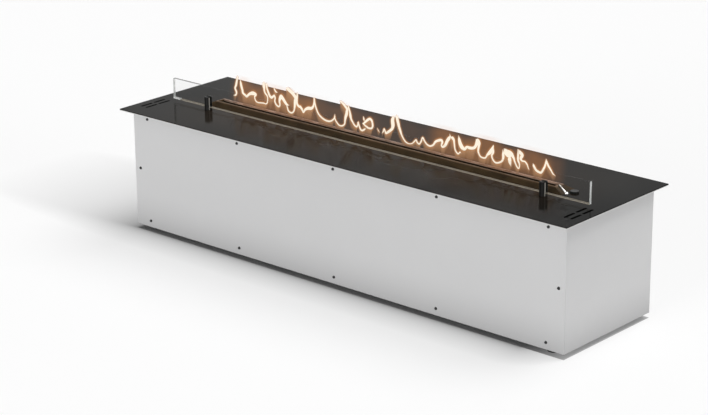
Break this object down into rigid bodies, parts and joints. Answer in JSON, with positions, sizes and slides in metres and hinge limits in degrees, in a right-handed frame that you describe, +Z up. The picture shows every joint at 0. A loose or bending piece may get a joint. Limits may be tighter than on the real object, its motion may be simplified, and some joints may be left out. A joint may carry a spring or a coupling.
{
  "type": "bioethanol fireplace",
  "caption": "Long low bioethanol fireplace with a slotted automatic burner, a glass screen on two posts and a sheet-metal case that holds the tank, pump and controls.",
  "frame": {"origin": "centre of the footprint, on the floor under the rubber feet", "axes": "+X along the burner slot, to the right as seen from the side with the glass; +Y from the glass side to the back; +Z up"},
  "size_m": [1, 0.28, 0.274],
  "materials": {
    "casing_paint": "matt pale grey powder coat",
    "plate_black": "fine-textured black heat-resistant coat",
    "rim_dark": "satin black heat-resistant coat",
    "black_metal": "satin black",
    "screw_black": "black oxide",
    "zinc": "zinc-coated sheet",
    "stainless": "brushed stainless steel",
    "bright_steel": "bright drawn rod",
    "clear_glass": "clear toughened glass, polished edges",
    "silicone": "translucent silicone",
    "rubber_black": "matt",
    "seal_red": "fluoro rubber, matt",
    "black_plastic": "moulded",
    "gloss_black": "polished",
    "red_plastic": "moulded",
    "white_plastic": "moulded",
    "motor_metal": "zinc-plated can",
    "supply_metal": "bead-blasted",
    "board_green": "solder mask",
    "brass": "turned",
    "hose_grey": "extruded",
    "wire_black": "sleeved leads"
  },
  "bodies": {
    "casing": {"base_pan": "zinc", "front_panel": "casing_paint", "rear_panel": "casing_paint", "left_end_panel": "casing_paint", "right_end_panel": "casing_paint", "front_top_rail": "zinc", "rear_top_rail": "zinc", "case_screws": "screw_black", "foot_front_left": "rubber_black", "foot_front_right": "rubber_black", "foot_rear_left": "rubber_black", "foot_rear_right": "rubber_black", "top_plate": "plate_black", "plate_studs": "zinc", "plate_nuts": "zinc", "burner_rim": "rim_dark", "heat_shield": "zinc", "left_post": "black_metal", "right_post": "black_metal", "post_liners": "silicone", "post_screws": "screw_black", "trough_floor": "stainless", "burner_trough": "stainless", "evaporator": "stainless", "heater_rod": "stainless", "igniter": "stainless", "flame_sensor": "bright_steel", "tank_floor": "stainless", "tank": "stainless", "tank_gasket": "rubber_black", "tank_lid": "stainless", "tank_lid_screws": "zinc", "tank_straps": "zinc", "filler_neck": "stainless", "level_sensor": "stainless", "dip_tube": "stainless", "suction_hose": "hose_grey", "feed_hose": "hose_grey", "overflow_hose": "hose_grey", "pump_bracket": "zinc", "pump_motor": "motor_metal", "pump_head": "black_plastic", "control_box": "black_plastic", "control_box_lid": "black_plastic", "control_board": "board_green", "power_supply": "supply_metal", "wiring_loom": "wire_black", "mains_inlet": "black_plastic", "switch_housing": "black_plastic", "button_housing": "black_plastic", "fan_bracket": "zinc", "fan_frame": "black_plastic"},
    "glass": {"glass_screen": "clear_glass"},
    "cap": {"filler_cap": "black_metal", "cap_seal": "seal_red"},
    "float": {"level_float": "white_plastic"},
    "pump": {"pump_rotor": "brass"},
    "rocker": {"rocker_switch": "gloss_black"},
    "button": {"start_button": "red_plastic"},
    "fan": {"fan_rotor": "black_plastic"}
  },
  "joints": [
    {"name": "glass_lift", "type": "slide", "parent": "casing", "child": "glass", "axis": [0, 0, 1], "range_m": [0, 0.06]},
    {"name": "filler_cap_lift", "type": "slide", "parent": "casing", "child": "cap", "axis": [0, 0, 1], "range_m": [0, 0.03]},
    {"name": "float_rise", "type": "slide", "parent": "casing", "child": "float", "axis": [0, 0, 1], "range_m": [0, 0.046]},
    {"name": "pump_spin", "type": "hinge", "parent": "casing", "child": "pump", "pos_m": [-0.06, 0, 0.0465], "axis": [1, 0, 0], "continuous": true},
    {"name": "fan_spin", "type": "hinge", "parent": "casing", "child": "fan", "pos_m": [0.454, -0.074, 0.213], "axis": [0, 0, 1], "continuous": true},
    {"name": "rocker_tilt", "type": "hinge", "parent": "casing", "child": "rocker", "pos_m": [-0.362, 0.116, 0.0665], "axis": [0, 0, -1], "range_deg": [0, 16]},
    {"name": "start_press", "type": "slide", "parent": "casing", "child": "button", "axis": [0, -1, 0], "range_m": [0, 0.0025], "stiffness_N_per_m": 400}
  ]
}
